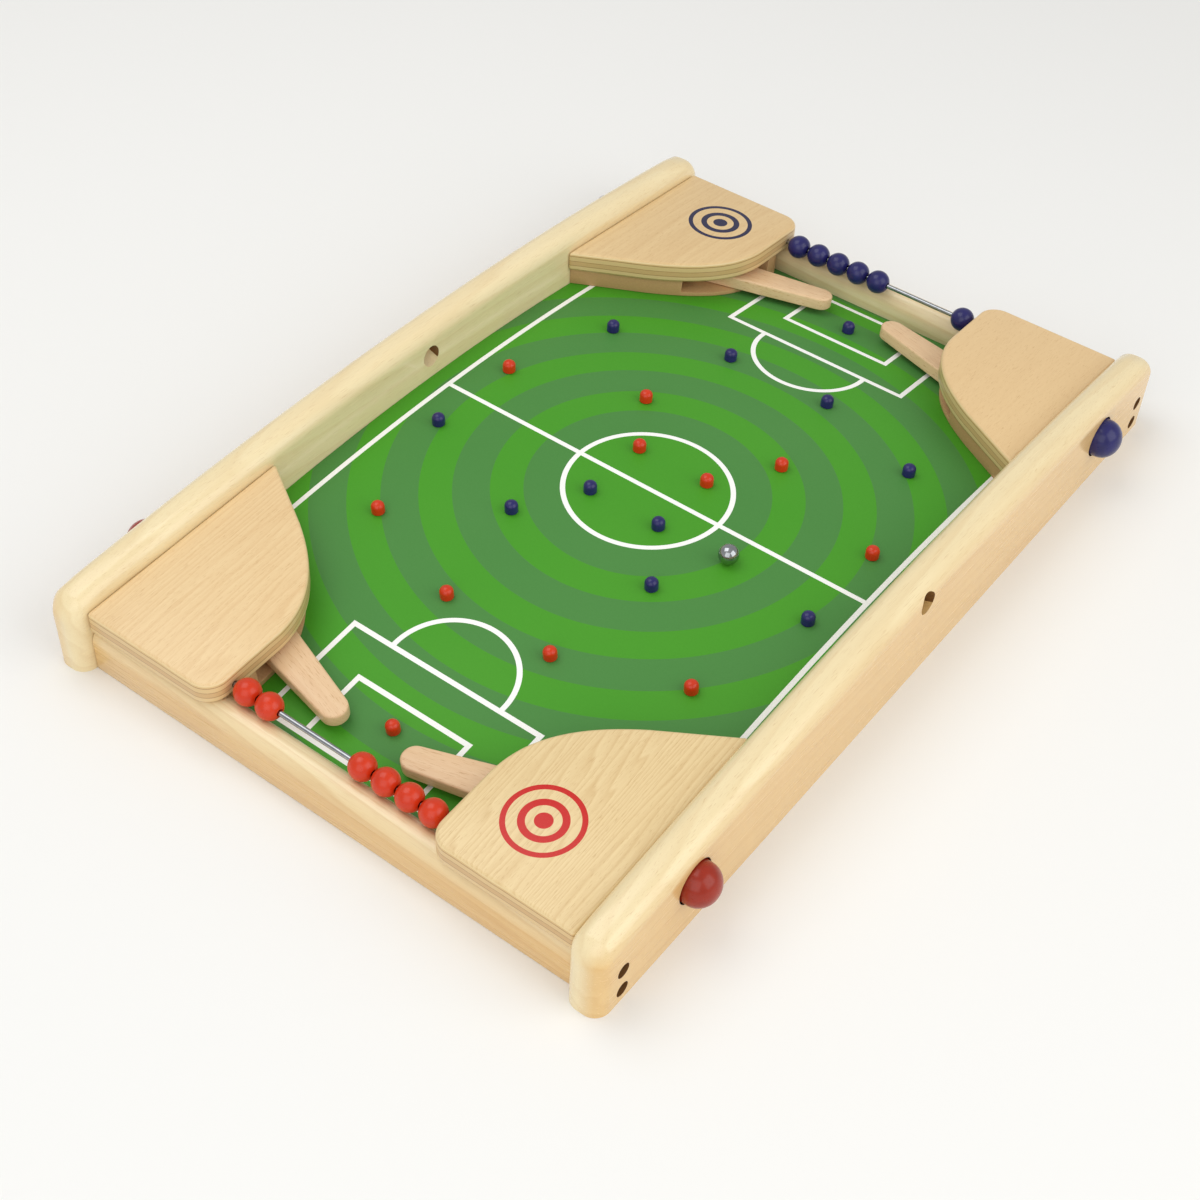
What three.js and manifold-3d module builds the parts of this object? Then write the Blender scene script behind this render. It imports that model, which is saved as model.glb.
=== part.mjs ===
// Two-player tabletop flipper football in wood: an arched pitch with pegs for players, walled by
// two arched side rails and two end rails. In each corner a plywood plate covers a block whose
// pocket holds a flipper. Pushing the domed button in the side rail turns that flipper. Each
// player keeps score with six beads on a steel rod over the end rail.
//
// Millimetres, +Z up, standing on z = 0. +X is towards the right-hand rail, +Y towards the blue
// player's end, and the origin is under the middle of the pitch.
import * as THREE from 'three';
import { mergeVertices } from 'three/addons/utils/BufferGeometryUtils.js';
import Module from 'manifold-3d';

const wasm = await Module();
wasm.setup();

// ---------------------------------------------------------------- driving dimensions
const CLEARANCE = 0.3; // between pieces that touch

const HALF_LENGTH = 287; // side rails, over their rounded ends
const HALF_WIDTH = 185; // over the side rails' outer faces
const RAIL_THICKNESS = 22;
const RAIL_HEIGHT = 65; // at mid-length
const RAIL_SAG = 0.000185; // the top falls by this times y squared
const RAIL_EDGE_RADIUS = 9; // rounding of the two long top edges
const RAIL_END_RADIUS = 9; // rounding of the upright end edges, in plan
const RAIL_NOSE_RADIUS = 14; // rounding of the top at each end, seen from the side
const INNER_FACE = HALF_WIDTH - RAIL_THICKNESS;

const END_RAIL = { inner: 260, outer: 278, height: 28.2 };
const SCREW = { y: 269, heights: [8.5, 23.5], boreRadius: 4.3, boreDepth: 8 };

const PITCH_APEX = 32; // height of the pitch at the middle
const PITCH_SAG = 0.00032; // the pitch falls by this times y squared
const PITCH_THICKNESS = 4;
const SUPPORT = { width: 10, bottom: 2.5, halfLength: 230 };

const PLATE_SLOPE = 0.067; // the corner plates fall towards the ends
const PLATE_THICKNESS = 14;
const PLATE_TOP_AT_CENTRE = 60.65; // where the plates' upper plane would cross y = 0
const PLATE_SIDE = 72; // |x| of the free edge beside the goal
const PLATE_CORNER_RADIUS = 13;
const BLOCK_INSET = 3; // the block stands back from the plate's free edge

// Each flipper lies in a plane that falls towards the end rail.
const FLIPPER_SLOPE = 0.12;
const PIVOT = { x: 118, y: 201.2, z: 22.6, radius: 2.5, up: 16.5, down: 2.5 };
const FLIPPER_THICKNESS = 8.3;
const HEEL_HEIGHT = 10; // the heel stands higher than the blade, so that the button meets it
// Round ends of the flipper, seen from above: [x, y, radius]. Their hull is its outline.
const FLIPPER_HUB = [118, 201.2, 6.5];
const FLIPPER_LOBE = [121.9, 212, 5];
const FLIPPER_CORNER = [113, 217.5, 6];
const FLIPPER_TIP = [28, 233.9, 7.9];

const BUTTON = {
  y: 212.7,
  z: 33,
  radius: 12,
  outside: 2.5, // straight part outside the rail, under the dome
  inside: 7, // straight part inside the bore
  domeHeight: 11,
  boreRadius: 13,
  boreDepth: 16,
  stemRadius: 4,
  stemEnd: 127.9, // |x| of the stem's rounded tip, at rest
};

const ROD = { y: 260.4, z: 34.8, radius: 1.5, halfLength: 88 };
const BEAD = { radius: 7.6, bore: 1.9, pitch: 15.45, outermost: 62.7, count: 6 };
const BEADS_ON_THE_LEFT = { red: 2, blue: 5 };

const PEG = { radius: 4, height: 7.8, shankRadius: 3, holeRadius: 3.5 };
const PEG_ORIGIN = [1.2, 1.2]; // the pegs are drilled a little off the board's middle
// The red team, from the pegs' origin: goalkeeper, four backs and six forwards, in pairs
// mirrored in x.
const GOALKEEPER = [0, -222.5];
const PEG_PAIRS = [
  [36, -137.5],
  [109.5, -111.5],
  [24.3, 24],
  [49.5, 65],
  [131.3, 33.3],
];

const BALL = { radius: 6, x: 72.3, y: -21.1 };
const BALL_HOLE = { radius: 6.75, innerZ: 47, outerZ: 55 };

// ---------------------------------------------------------------- materials
const paint = (color, roughness, metalness = 0) =>
  new THREE.MeshStandardMaterial({ color, roughness, metalness });
const railWood = paint(0xf0dfb4, 0.35);
const plywood = paint(0xe8cd98, 0.45);
const fibreboard = paint(0xb98a5c, 0.7);
const flipperWood = paint(0xe2bd90, 0.5);
const pitchPrint = paint(0x4d9b2b, 0.55);
const redPaint = paint(0xd8381e, 0.3);
const bluePaint = paint(0x2b2a63, 0.3);
const steel = paint(0xc9ccd0, 0.15, 1);

// ---------------------------------------------------------------- solids and booleans
function solidOf(geometry) {
  const bare = geometry.clone();
  bare.deleteAttribute('normal');
  bare.deleteAttribute('uv');
  const merged = mergeVertices(bare, 1e-4);
  return new wasm.Manifold(
    new wasm.Mesh({
      numProp: 3,
      vertProperties: new Float32Array(merged.attributes.position.array),
      triVerts: new Uint32Array(merged.index.array),
    }),
  );
}

function geometryOf(solid) {
  const { vertProperties, triVerts } = solid.getMesh();
  const geometry = new THREE.BufferGeometry();
  geometry.setAttribute('position', new THREE.BufferAttribute(new Float32Array(vertProperties), 3));
  geometry.setIndex(new THREE.BufferAttribute(new Uint32Array(triVerts), 1));
  geometry.computeVertexNormals();
  return geometry;
}

function cut(geometry, tools) {
  const solid = tools.reduce((body, tool) => body.subtract(solidOf(tool)), solidOf(geometry));
  return geometryOf(solid);
}

function join(first, second) {
  return geometryOf(solidOf(first).add(solidOf(second)));
}

function common(first, second) {
  return geometryOf(solidOf(first).intersect(solidOf(second)));
}

// A geometry mirrored in x and y by signs, with its faces still pointing out.
function mirrored(geometry, signX, signY) {
  const copy = geometry.clone();
  copy.scale(signX, signY, 1);
  if (signX * signY < 0) {
    const index = copy.index.array;
    for (let i = 0; i < index.length; i += 3) {
      [index[i], index[i + 1]] = [index[i + 1], index[i]];
    }
  }
  copy.computeVertexNormals();
  return copy;
}

const group = new THREE.Group();

function place(name, geometry, material, x = 0, y = 0, z = 0) {
  const mesh = new THREE.Mesh(geometry, material);
  mesh.name = name;
  mesh.position.set(x, y, z);
  group.add(mesh);
  return mesh;
}

// ---------------------------------------------------------------- shapes shared by the parts
const pitchHeight = (y) => PITCH_APEX - PITCH_SAG * y * y;
const plateTop = (y) => PLATE_TOP_AT_CENTRE - PLATE_SLOPE * y;
const plateBottom = (y) => plateTop(y) - PLATE_THICKNESS;

function outlineOf(points) {
  return new THREE.Shape(points.map(([x, y]) => new THREE.Vector2(x, y)));
}

// A closed outline of (y, z) points extruded along x.
function profileAlongX(points, fromX, toX) {
  const flat = { depth: toX - fromX, bevelEnabled: false };
  const geometry = new THREE.ExtrudeGeometry(outlineOf(points), flat);
  const axes = new THREE.Matrix4().makeBasis(
    new THREE.Vector3(0, 1, 0),
    new THREE.Vector3(0, 0, 1),
    new THREE.Vector3(1, 0, 0),
  );
  return geometry.applyMatrix4(axes).translate(fromX, 0, 0);
}

// A round bar along x, with its two ends at the given heights.
function barAlongX(radius, fromX, toX, y, fromZ, toZ = fromZ, segments = 16) {
  const length = Math.hypot(toX - fromX, toZ - fromZ);
  const geometry = new THREE.CylinderGeometry(radius, radius, length, segments);
  geometry.rotateZ(-Math.PI / 2);
  geometry.rotateY(-Math.atan2(toZ - fromZ, toX - fromX));
  return geometry.translate((fromX + toX) / 2, y, (fromZ + toZ) / 2);
}

function arcPoints(centreX, centreY, radius, fromAngle, toAngle, steps) {
  return Array.from({ length: steps + 1 }, (_, i) => {
    const angle = fromAngle + ((toAngle - fromAngle) * i) / steps;
    return [centreX + radius * Math.cos(angle), centreY + radius * Math.sin(angle)];
  });
}

// ---------------------------------------------------------------- side rails
const RAIL_EDGE_STEPS = 4;
const RAIL_END_STEPS = 5;
const RAIL_MIDDLE_STEPS = 14;

// Stations along the rail: [y, half thickness, height].
function railStations() {
  const ends = [];
  for (let i = 0; i <= RAIL_END_STEPS; i += 1) {
    const turn = (i / RAIL_END_STEPS) * (Math.PI / 2);
    const inset = RAIL_END_RADIUS * (1 - Math.sin(turn));
    ends.push([HALF_LENGTH - RAIL_END_RADIUS * (1 - Math.cos(turn)), inset]);
  }
  const half = ends.map(([y, inset]) => [y, RAIL_THICKNESS / 2 - inset]);
  const middleEnd = HALF_LENGTH - RAIL_END_RADIUS;
  for (let i = 1; i < RAIL_MIDDLE_STEPS; i += 1) {
    half.push([middleEnd * (1 - (2 * i) / RAIL_MIDDLE_STEPS), RAIL_THICKNESS / 2]);
  }
  const mirroredEnds = ends.map(([y, inset]) => [-y, RAIL_THICKNESS / 2 - inset]).reverse();
  return [...half, ...mirroredEnds].map(([y, halfThickness]) => [y, halfThickness, railTop(y)]);
}

function railTop(y) {
  const arch = RAIL_HEIGHT - RAIL_SAG * y * y;
  const intoNose = Math.abs(y) - (HALF_LENGTH - RAIL_NOSE_RADIUS);
  if (intoNose <= 0) {
    return arch;
  }
  return arch - RAIL_NOSE_RADIUS + Math.sqrt(RAIL_NOSE_RADIUS ** 2 - intoNose ** 2);
}

// One upright section of the rail, anticlockwise seen from +y.
function railSection([y, halfThickness, top]) {
  const radius = Math.min(RAIL_EDGE_RADIUS, halfThickness * 0.8);
  const inner = arcPoints(radius - halfThickness, top - radius, radius,
    Math.PI, Math.PI / 2, RAIL_EDGE_STEPS);
  const outer = arcPoints(halfThickness - radius, top - radius, radius,
    Math.PI / 2, 0, RAIL_EDGE_STEPS);
  const ring = [[halfThickness, 0], [-halfThickness, 0], ...inner, ...outer];
  return ring.map(([x, z]) => [x, y, z]);
}

function railBody() {
  const rings = railStations().map(railSection);
  const size = rings[0].length;
  const positions = rings.flat(2);
  const triangles = [];
  for (let r = 0; r + 1 < rings.length; r += 1) {
    for (let i = 0; i < size; i += 1) {
      const a = r * size + i;
      const b = r * size + ((i + 1) % size);
      triangles.push(a, a + size, b, b, a + size, b + size);
    }
  }
  for (let i = 1; i + 1 < size; i += 1) {
    const last = (rings.length - 1) * size;
    triangles.push(0, i, i + 1);
    triangles.push(last, last + i + 1, last + i);
  }
  const geometry = new THREE.BufferGeometry();
  geometry.setAttribute('position', new THREE.Float32BufferAttribute(positions, 3));
  geometry.setIndex(triangles);
  return geometry;
}

// The right-hand rail: slanted ball hole, a bore and stem hole for each button, and two
// counterbored screw holes at each end.
function sideRail() {
  const outward = RAIL_THICKNESS / 2;
  const slope = (BALL_HOLE.outerZ - BALL_HOLE.innerZ) / RAIL_THICKNESS;
  const reach = RAIL_THICKNESS;
  const middleZ = (BALL_HOLE.outerZ + BALL_HOLE.innerZ) / 2;
  const cuts = [barAlongX(BALL_HOLE.radius, -reach, reach, 0,
    middleZ - reach * slope, middleZ + reach * slope, 20)];
  for (const end of [-1, 1]) {
    cuts.push(barAlongX(BUTTON.boreRadius, outward - BUTTON.boreDepth, outward + 5,
      end * BUTTON.y, BUTTON.z, BUTTON.z, 28));
    cuts.push(barAlongX(BUTTON.stemRadius + 0.7, -outward - 5, outward - BUTTON.boreDepth + 1,
      end * BUTTON.y, BUTTON.z, BUTTON.z, 16));
    for (const z of SCREW.heights) {
      cuts.push(barAlongX(SCREW.boreRadius, outward - SCREW.boreDepth, outward + 5,
        end * SCREW.y, z, z, 12));
    }
  }
  return cut(railBody(), cuts).translate(HALF_WIDTH - outward, 0, 0);
}

// ---------------------------------------------------------------- end rails, pitch and supports
function endRail() {
  const { inner, outer, height } = END_RAIL;
  const radius = (outer - inner) / 2;
  const outline = [
    [inner, 0],
    [outer, 0],
    ...arcPoints(inner + radius, height - radius, radius, 0, Math.PI, 10),
  ];
  const reach = INNER_FACE - CLEARANCE;
  return profileAlongX(outline, -reach, reach);
}

function arch(halfLength, offset, steps) {
  return Array.from({ length: steps + 1 }, (_, i) => {
    const y = -halfLength + (2 * halfLength * i) / steps;
    return [y, pitchHeight(y) + offset];
  });
}

const PITCH_STEPS = 24;
const pitchHalfLength = END_RAIL.inner - CLEARANCE;

function pegSpots() {
  const team = [GOALKEEPER, ...PEG_PAIRS.flatMap(([x, y]) => [[-x, y], [x, y]])];
  const spotsOf = (end) => team.map(([x, y]) => [PEG_ORIGIN[0] + x, PEG_ORIGIN[1] - end * y]);
  return { red: spotsOf(-1), blue: spotsOf(1) };
}

// Turns a piece that stands upright at the origin so that it stands square on the pitch.
const pitchLean = (y) => Math.atan(2 * PITCH_SAG * y);

function pitchPanel() {
  const outline = [
    ...arch(pitchHalfLength, -PITCH_THICKNESS, PITCH_STEPS),
    ...arch(pitchHalfLength, 0, PITCH_STEPS).reverse(),
  ];
  const reach = INNER_FACE - CLEARANCE;
  const spots = pegSpots();
  const holes = [...spots.red, ...spots.blue].map(([x, y]) => {
    const drill = new THREE.CylinderGeometry(PEG.holeRadius, PEG.holeRadius, 4 * PITCH_THICKNESS, 8);
    drill.rotateX(Math.PI / 2 - pitchLean(y));
    return drill.translate(x, y, pitchHeight(y));
  });
  return cut(profileAlongX(outline, -reach, reach), holes);
}

function pitchSupport() {
  const { width, bottom, halfLength } = SUPPORT;
  const outline = [
    [-halfLength, bottom],
    [halfLength, bottom],
    ...arch(halfLength, -PITCH_THICKNESS - CLEARANCE, 20).reverse(),
  ];
  const reach = INNER_FACE - CLEARANCE;
  return profileAlongX(outline, reach - width, reach);
}

// ---------------------------------------------------------------- corner plates and blocks
// The plate's outline in the far right-hand corner, from the rail round the free edge.
function cornerOutline(inset, outerY) {
  const railSide = INNER_FACE - CLEARANCE;
  const side = PLATE_SIDE + inset;
  const radius = PLATE_CORNER_RADIUS - inset;
  const shape = new THREE.Shape();
  shape.moveTo(railSide, outerY);
  shape.lineTo(side + radius, outerY);
  shape.quadraticCurveTo(side, outerY, side, outerY - radius);
  shape.lineTo(side, 230);
  shape.bezierCurveTo(side, 205, 85 + inset, 183 + inset, 119 + inset / 2, 161 + inset);
  shape.lineTo(railSide, 135 + inset);
  return shape;
}

function cornerPrism(inset, outerY) {
  const flat = { depth: 90, bevelEnabled: false, curveSegments: 7 };
  return new THREE.ExtrudeGeometry(cornerOutline(inset, outerY), flat);
}

// From a frame with z along the flipper's pivot, and z = 0 under its blade, to the corner.
function onPivot(geometry) {
  geometry.rotateX(-Math.atan(FLIPPER_SLOPE));
  return geometry.translate(PIVOT.x, PIVOT.y, PIVOT.z);
}

function upright(radius, fromZ, toZ, segments) {
  const bar = new THREE.CylinderGeometry(radius, radius, toZ - fromZ, segments);
  return bar.rotateX(Math.PI / 2).translate(0, 0, (fromZ + toZ) / 2);
}

function cornerPlate() {
  const nearY = 120;
  const farY = 285;
  const slab = profileAlongX([
    [nearY, plateBottom(nearY)],
    [farY, plateBottom(farY)],
    [farY, plateTop(farY)],
    [nearY, plateTop(nearY)],
  ], 60, HALF_WIDTH);
  const body = common(cornerPrism(0, END_RAIL.outer), slab);
  const rodHole = barAlongX(ROD.radius + 0.4, 60, ROD.halfLength + 1, ROD.y, ROD.z, ROD.z, 12);
  const pivotHole = onPivot(upright(PIVOT.radius + 0.5, 5, PIVOT.up + 0.5, 16));
  const stemGroove = barAlongX(BUTTON.stemRadius + 0.7, 110, HALF_WIDTH, BUTTON.y,
    BUTTON.z, BUTTON.z, 16);
  return cut(body, [rodHole, pivotHole, stemGroove]);
}

// The pocket in which the flipper swings: open towards the goal.
const POCKET = [
  [131, 222], [112, 229], [90, 242], [40, 242], [40, 155], [55, 160], [96, 172], [108, 186],
  [131, 188],
];
const POCKET_FLOOR = -0.4; // below the flipper

function cornerBlock() {
  const nearY = 130;
  const farY = 270;
  const steps = 8;
  const lower = Array.from({ length: steps + 1 }, (_, i) => {
    const y = nearY + ((farY - nearY) * i) / steps;
    return [y, pitchHeight(y) + CLEARANCE];
  });
  const slab = profileAlongX([
    ...lower,
    [farY, plateBottom(farY) - CLEARANCE],
    [nearY, plateBottom(nearY) - CLEARANCE],
  ], 60, HALF_WIDTH);
  const body = common(cornerPrism(BLOCK_INSET, END_RAIL.inner - CLEARANCE), slab);
  const outline = outlineOf(POCKET.map(([x, y]) => [x - PIVOT.x, y - PIVOT.y]));
  const flat = { depth: 30, bevelEnabled: false };
  const pocket = onPivot(new THREE.ExtrudeGeometry(outline, flat).translate(0, 0, POCKET_FLOOR));
  const pivotHole = onPivot(upright(PIVOT.radius + 0.5, -8, 2, 16));
  const stemHole = barAlongX(BUTTON.stemRadius + 0.7, 125, HALF_WIDTH, BUTTON.y,
    BUTTON.z, BUTTON.z, 16);
  return cut(body, [pocket, pivotHole, stemHole]);
}

// ---------------------------------------------------------------- flippers
// The convex hull of a few circles, anticlockwise.
function hullOf(circles, steps) {
  const points = circles
    .flatMap(([x, y, radius]) => arcPoints(x, y, radius, 0, 2 * Math.PI, steps).slice(1))
    .sort((a, b) => a[0] - b[0] || a[1] - b[1]);
  const turns = (a, b, c) =>
    (b[0] - a[0]) * (c[1] - a[1]) - (b[1] - a[1]) * (c[0] - a[0]) > 1e-6;
  const chain = (ordered) => {
    const kept = [];
    for (const point of ordered) {
      while (kept.length > 1 && !turns(kept.at(-2), kept.at(-1), point)) {
        kept.pop();
      }
      kept.push(point);
    }
    return kept.slice(0, -1);
  };
  return [...chain(points), ...chain(points.reverse())];
}

function flipperLayer(circles, height) {
  const aroundPivot = circles.map(([x, y, radius]) => [x - PIVOT.x, y - PIVOT.y, radius]);
  const flat = { depth: height, bevelEnabled: false };
  return new THREE.ExtrudeGeometry(outlineOf(hullOf(aroundPivot, 16)), flat);
}

function flipper() {
  const heelCircles = [FLIPPER_HUB, FLIPPER_LOBE, FLIPPER_CORNER];
  const blade = flipperLayer([...heelCircles, FLIPPER_TIP], FLIPPER_THICKNESS);
  const heel = flipperLayer(heelCircles, HEEL_HEIGHT);
  const dowel = upright(PIVOT.radius, -PIVOT.down, PIVOT.up, 14);
  return onPivot(join(join(blade, heel), dowel));
}

// ---------------------------------------------------------------- buttons
// The right-hand button: a domed head on a stem whose rounded tip pushes the flipper's heel.
function button() {
  const { radius, outside, inside, domeHeight, stemRadius, stemEnd } = BUTTON;
  const tip = stemEnd - HALF_WIDTH;
  const tipRounding = arcPoints(0, tip + stemRadius, stemRadius, -Math.PI / 2, 0, 3);
  const dome = arcPoints(0, 0, 1, 0, Math.PI / 2, 5).map(([radial, axial]) =>
    [radius * radial, outside + domeHeight * axial]);
  const profile = [...tipRounding, [stemRadius, -inside], [radius, -inside], ...dome]
    .map(([radial, axial]) => new THREE.Vector2(radial, axial));
  profile[0].x = 0;
  profile.at(-1).x = 0;
  const whole = new THREE.LatheGeometry(profile, 20).rotateZ(-Math.PI / 2);
  return geometryOf(solidOf(whole.translate(HALF_WIDTH, BUTTON.y, BUTTON.z)));
}

// ---------------------------------------------------------------- beads, rods, pegs and ball
function bead() {
  const edge = Math.asin(BEAD.bore / BEAD.radius);
  const profile = arcPoints(0, 0, BEAD.radius, Math.PI / 2 - edge, edge - Math.PI / 2, 6);
  const closed = [...profile, profile[0]].map(([radial, axial]) => new THREE.Vector2(radial, axial));
  return new THREE.LatheGeometry(closed.reverse(), 12).rotateZ(Math.PI / 2);
}

function beadPositions(onTheLeft) {
  return Array.from({ length: BEAD.count }, (_, i) => (i < onTheLeft
    ? -BEAD.outermost + i * BEAD.pitch
    : BEAD.outermost - (BEAD.count - 1 - i) * BEAD.pitch));
}

function peg() {
  const { radius, height, shankRadius } = PEG;
  const profile = [
    [0, -PITCH_THICKNESS + CLEARANCE],
    [shankRadius, -PITCH_THICKNESS + CLEARANCE],
    [shankRadius, CLEARANCE],
    [radius, CLEARANCE],
    [radius, height - 3],
    [radius * 0.7, height - 0.8],
    [0, height],
  ];
  const points = profile.map(([radial, axial]) => new THREE.Vector2(radial, axial));
  return new THREE.LatheGeometry(points, 8).rotateX(Math.PI / 2);
}

// ---------------------------------------------------------------- the assembly
const rightRail = sideRail();
const support = pitchSupport();
place('side_rail_right', rightRail, railWood);
place('side_rail_left', mirrored(rightRail, -1, 1), railWood);
place('pitch_support_right', geometryOf(solidOf(support)), railWood);
place('pitch_support_left', mirrored(geometryOf(solidOf(support)), -1, 1), railWood);
place('pitch_panel', pitchPanel(), pitchPrint);

const parts = {
  endRail: geometryOf(solidOf(endRail())),
  plate: cornerPlate(),
  block: cornerBlock(),
  flipper: flipper(),
  button: button(),
};
const rod = barAlongX(ROD.radius, -ROD.halfLength, ROD.halfLength, 0, 0, 0, 12);
const teams = [
  { name: 'red', end: -1, material: redPaint },
  { name: 'blue', end: 1, material: bluePaint },
];

for (const { name, end, material } of teams) {
  place(`end_rail_${name}`, mirrored(parts.endRail, 1, end), railWood);
  place(`score_rod_${name}`, rod, steel, 0, end * ROD.y, ROD.z);
  beadPositions(BEADS_ON_THE_LEFT[name]).forEach((x, i) => {
    place(`score_bead_${name}_${i + 1}`, bead(), material, x, end * ROD.y, ROD.z);
  });
  for (const [side, sign] of [['left', -1], ['right', 1]]) {
    place(`corner_plate_${name}_${side}`, mirrored(parts.plate, sign, end), plywood);
    place(`corner_block_${name}_${side}`, mirrored(parts.block, sign, end), fibreboard);
    place(`flipper_${name}_${side}`, mirrored(parts.flipper, sign, end), flipperWood);
    place(`button_${name}_${side}`, mirrored(parts.button, sign, end), material);
  }
  pegSpots()[name].forEach(([x, y], i) => {
    const player = place(`peg_${name}_${i + 1}`, peg(), material, x, y, pitchHeight(y));
    player.rotation.x = -pitchLean(y);
  });
}

place('ball', new THREE.SphereGeometry(BALL.radius, 16, 10), steel, BALL.x, BALL.y,
  pitchHeight(BALL.y) + BALL.radius + CLEARANCE);

export default group;
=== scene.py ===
"""Looks of a wooden two-player flipper football game, built round its CAD frame.

Lengths are millimetres until new_object() turns them into metres; only the lights and the camera
are placed in metres. Shapes that come four times are drawn once, for the corner at +x and +y, and
mirrored by the signs of x and y.
"""
import math

import bmesh
import bpy
from mathutils import Euler, Matrix, Vector


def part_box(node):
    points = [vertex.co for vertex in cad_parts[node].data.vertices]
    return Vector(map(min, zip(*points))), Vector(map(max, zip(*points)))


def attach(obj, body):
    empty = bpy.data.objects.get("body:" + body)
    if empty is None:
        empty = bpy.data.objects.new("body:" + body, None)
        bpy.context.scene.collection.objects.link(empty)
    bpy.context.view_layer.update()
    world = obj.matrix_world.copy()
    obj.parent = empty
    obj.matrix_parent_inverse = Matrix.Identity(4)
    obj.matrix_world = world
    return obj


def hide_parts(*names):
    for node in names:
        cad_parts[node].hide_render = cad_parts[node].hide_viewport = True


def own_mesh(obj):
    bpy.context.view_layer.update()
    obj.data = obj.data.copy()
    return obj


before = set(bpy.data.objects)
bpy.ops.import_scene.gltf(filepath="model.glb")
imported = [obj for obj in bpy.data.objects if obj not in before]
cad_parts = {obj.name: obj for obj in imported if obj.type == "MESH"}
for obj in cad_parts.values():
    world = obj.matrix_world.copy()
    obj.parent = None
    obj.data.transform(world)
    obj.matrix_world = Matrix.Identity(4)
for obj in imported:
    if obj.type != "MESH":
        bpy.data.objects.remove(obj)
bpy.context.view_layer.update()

MM = 0.001
TEAMS = {"red": -1, "blue": 1}
SIDES = {"left": -1, "right": 1}
CORNERS = [(team, side) for team in TEAMS for side in SIDES]

# ------------------------------------------------------------------ driving dimensions
HALF_LENGTH = 287
HALF_WIDTH = 185
RAIL_THICKNESS = 22
RAIL_HEIGHT = 65
RAIL_SAG = 0.000185
RAIL_EDGE_RADIUS = 9
RAIL_END_RADIUS = 9
RAIL_NOSE_RADIUS = 14
RAIL_ARRIS = 0.5
INNER_FACE = HALF_WIDTH - RAIL_THICKNESS
CLEARANCE = 0.3

END_RAIL_INNER = 260
END_RAIL_OUTER = 278
END_RAIL_HEIGHT = 28.2
END_RAIL_ARRIS = 0.8
SCREW_Y = 269
SCREW_HEIGHTS = (8.5, 23.5)
SCREW_BORE_RADIUS = 4.3
SCREW_BORE_DEPTH = 8
SCREW_HEAD_RADIUS = 3.6
SCREW_HEAD_HEIGHT = 2.2
SCREW_SLOT_HALF_LENGTH = 2
SCREW_SLOT_HALF_WIDTH = 0.35
SCREW_SLOT_FLOOR = 0.9

PITCH_APEX = 32
PITCH_SAG = 0.00032
PITCH_THICKNESS = 4

PLATE_SLOPE = 0.067
PLATE_THICKNESS = 14
PLATE_TOP_AT_CENTRE = 60.65
PLATE_SIDE = 72
PLATE_CORNER_RADIUS = 13
PLATE_SIDE_END = 230
PLATE_CURVE_LEVEL = 205
PLATE_CURVE_MIDDLE = (85, 183)
PLATE_CURVE_END = (119, 161)
PLATE_RAIL_END = 135
PLATE_EDGE_RADIUS = 2.4
BLOCK_INSET = 3
BLOCK_ARRIS = 0.4

FLIPPER_SLOPE = 0.12
PIVOT = Vector((118, 201.2, 22.6))
PIVOT_RADIUS = 2.5
PIVOT_UP = 16.5
PIVOT_DOWN = 2.5
PIVOT_GAP = 0.5
FLIPPER_THICKNESS = 8.3
FLIPPER_EDGE_RADIUS = 1.3
HEEL_HEIGHT = 10
# The flipper's outline wraps these circles, given as (x, y, radius)
FLIPPER_HUB = (118, 201.2, 6.5)
FLIPPER_LOBE = (121.9, 212, 5)
FLIPPER_CORNER = (113, 217.5, 6)
FLIPPER_TIP = (28, 233.9, 7.9)
# The room that the flipper swings in, cut from the block
POCKET = [(131, 222), (112, 229), (90, 242), (40, 242), (40, 155), (55, 160), (96, 172),
          (108, 186), (131, 188)]
POCKET_FLOOR = -0.4
POCKET_CEILING = 30

BUTTON_Y = 212.7
BUTTON_Z = 33
BUTTON_RADIUS = 12
BUTTON_OUTSIDE = 2.5
BUTTON_INSIDE = 7
DOME_HEIGHT = 11
BORE_RADIUS = 13
BORE_DEPTH = 16
STEM_RADIUS = 4
STEM_END = 128.3        # leaves room for the heel's fine round at full push
STEM_HOLE_RADIUS = 4.7
STEM_HOLE_END = 125
STEM_GROOVE_END = 110

SPRING_RADIUS = 5.2
SPRING_WIRE_RADIUS = 0.35
SPRING_TURNS = 5
SPRING_STEPS_PER_TURN = 20
SPRING_WIRE_SIDES = 8

ROD_Y = 260.4
ROD_Z = 34.8
ROD_RADIUS = 1.5
ROD_GAP = 0.4
ROD_HALF_LENGTH = 88
BEAD_RADIUS = 7.6
BEAD_BORE = 1.9

PEG_RADIUS = 4
PEG_HEIGHT = 7.8
PEG_SHANK_RADIUS = 3
PEG_DOME = 3.4
BALL_HOLE_RADIUS = 6.75
BALL_HOLE_INNER_Z = 47
BALL_HOLE_OUTER_Z = 55

# Pitch markings, from the centre spot, and the touchlines from the middle of the board
PRINT_CENTRE = (1.2, 0.7)
LINE_WIDTH = 3.1
TOUCHLINE = 150
GOAL_LINE = 250.6
CIRCLE_RADIUS = 49.6
PENALTY_HALF_WIDTH = 64.3
PENALTY_FRONT = 180.8
GOAL_AREA_HALF_WIDTH = 37.9
GOAL_AREA_FRONT = 206.8
ARC_CENTRE = 177.8
ARC_RADIUS = 37.4
RING_START = 72.2
RING_PITCH = 41.2
RING_LIGHT = 19.4

EMBLEM = (112, 236.8)
EMBLEM_RADIUS = 21.4

FLOOR_HALF_SIDE = 4000
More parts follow.
